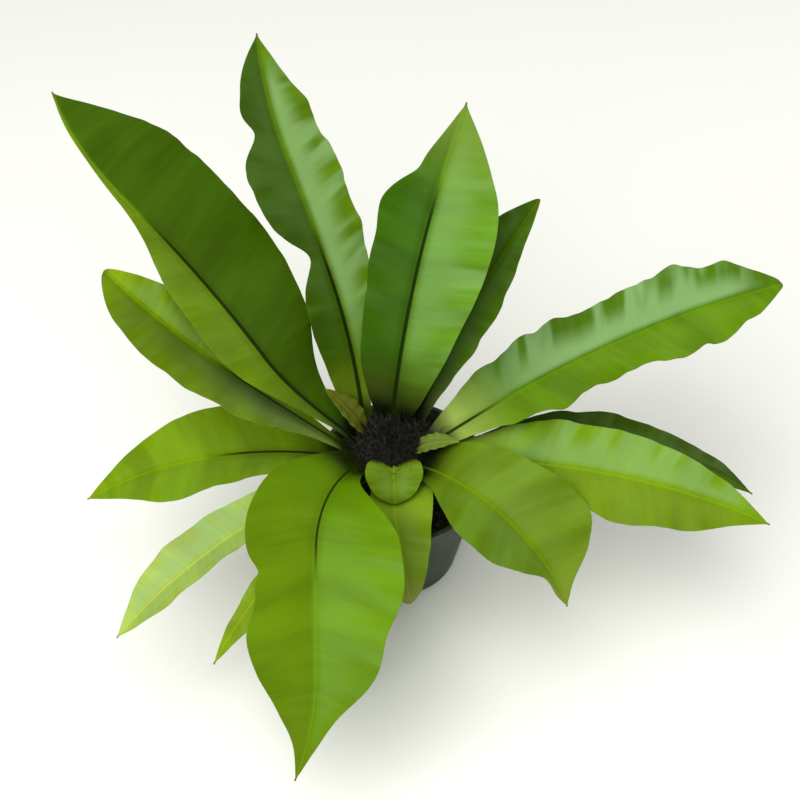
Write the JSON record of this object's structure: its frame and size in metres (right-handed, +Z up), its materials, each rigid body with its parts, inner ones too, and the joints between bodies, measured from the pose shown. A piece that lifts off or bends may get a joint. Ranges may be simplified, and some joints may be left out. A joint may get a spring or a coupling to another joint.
{
  "type": "potted bird's nest fern",
  "caption": "Young bird's nest fern: broad waved strap fronds around a dark fibrous crown, rooted in soil in a plain round nursery pot.",
  "frame": {"origin": "centre of the pot's flat base, where it stands", "axes": "+Z up; -Y towards the side the large front frond hangs over; +X to the right of that view"},
  "size_m": [0.5043, 0.3939, 0.3584],
  "materials": {
    "pot": "satin dark plastic",
    "soil": "crumbly potting mix",
    "crown": "dark dry fibre and scales",
    "frond_rear_left": "glossy living leaf",
    "frond_rear_tall": "glossy living leaf",
    "frond_rear_centre": "glossy living leaf",
    "frond_rear_right": "glossy living leaf",
    "frond_right_long": "glossy living leaf",
    "frond_right_low": "glossy living leaf",
    "frond_right_front": "glossy living leaf",
    "frond_front_right": "glossy living leaf",
    "frond_front_hanging": "glossy living leaf",
    "frond_front_large": "glossy living leaf",
    "frond_front_left": "glossy living leaf",
    "frond_front_left_low": "glossy living leaf",
    "frond_left": "glossy living leaf",
    "frond_left_round": "glossy living leaf",
    "young_frond_left": "glossy living leaf",
    "young_frond_right": "glossy living leaf",
    "young_frond_front": "glossy living leaf"
  },
  "bodies": {
    "root": {"pot": "pot", "soil": "soil", "crown": "crown", "frond_rear_left": "frond_rear_left", "frond_rear_tall": "frond_rear_tall", "frond_rear_centre": "frond_rear_centre", "frond_rear_right": "frond_rear_right", "frond_right_long": "frond_right_long", "frond_right_low": "frond_right_low", "frond_right_front": "frond_right_front", "frond_front_right": "frond_front_right", "frond_front_hanging": "frond_front_hanging", "frond_front_large": "frond_front_large", "frond_front_left": "frond_front_left", "frond_front_left_low": "frond_front_left_low", "frond_left": "frond_left", "frond_left_round": "frond_left_round", "young_frond_left": "young_frond_left", "young_frond_right": "young_frond_right", "young_frond_front": "young_frond_front"}
  },
  "joints": []
}
